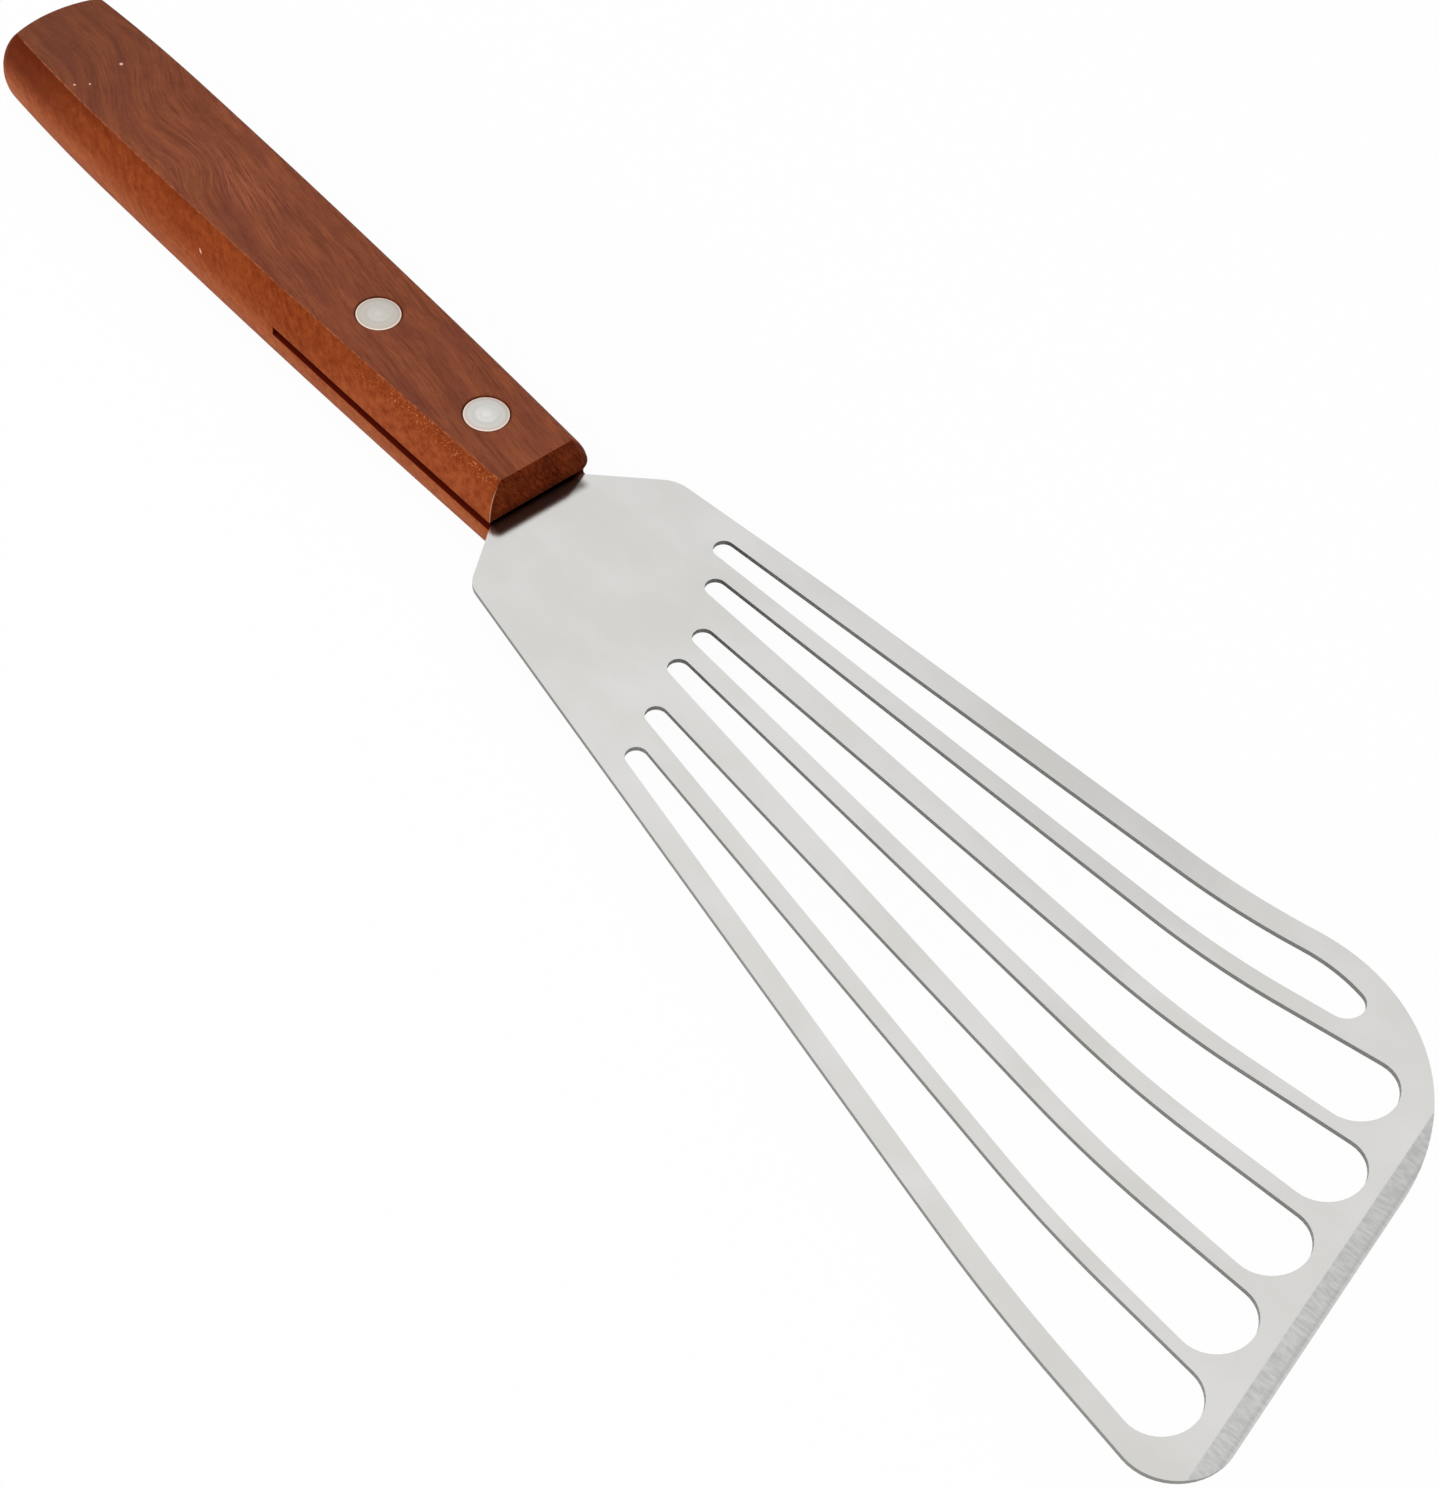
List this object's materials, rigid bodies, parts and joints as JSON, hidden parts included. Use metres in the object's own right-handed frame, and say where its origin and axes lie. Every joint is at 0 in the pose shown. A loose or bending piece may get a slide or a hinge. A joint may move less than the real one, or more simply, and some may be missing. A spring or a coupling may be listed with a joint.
{
  "type": "slotted turner",
  "caption": "Slotted turner: thin springy steel blade with long tapering slots and a slanted, upturned front edge, riveted into the kerf of a turned wooden handle with two flats.",
  "frame": {"origin": "on the handle's flat underside, midway between the two rivets", "axes": "+X along the handle towards the blade's front edge, +Y towards the blade's shorter side, +Z out of the handle's top flat"},
  "size_m": [0.2901, 0.0738, 0.0151],
  "materials": {
    "wood": "lightly oiled, satin",
    "blade_steel": "fine satin",
    "rivet_metal": "satin, lightly domed heads"
  },
  "bodies": {
    "root": {"handle": "wood", "blade": "blade_steel", "rivet_front_post": "rivet_metal", "rivet_front_cap": "rivet_metal", "rivet_rear_post": "rivet_metal", "rivet_rear_cap": "rivet_metal"}
  },
  "joints": []
}
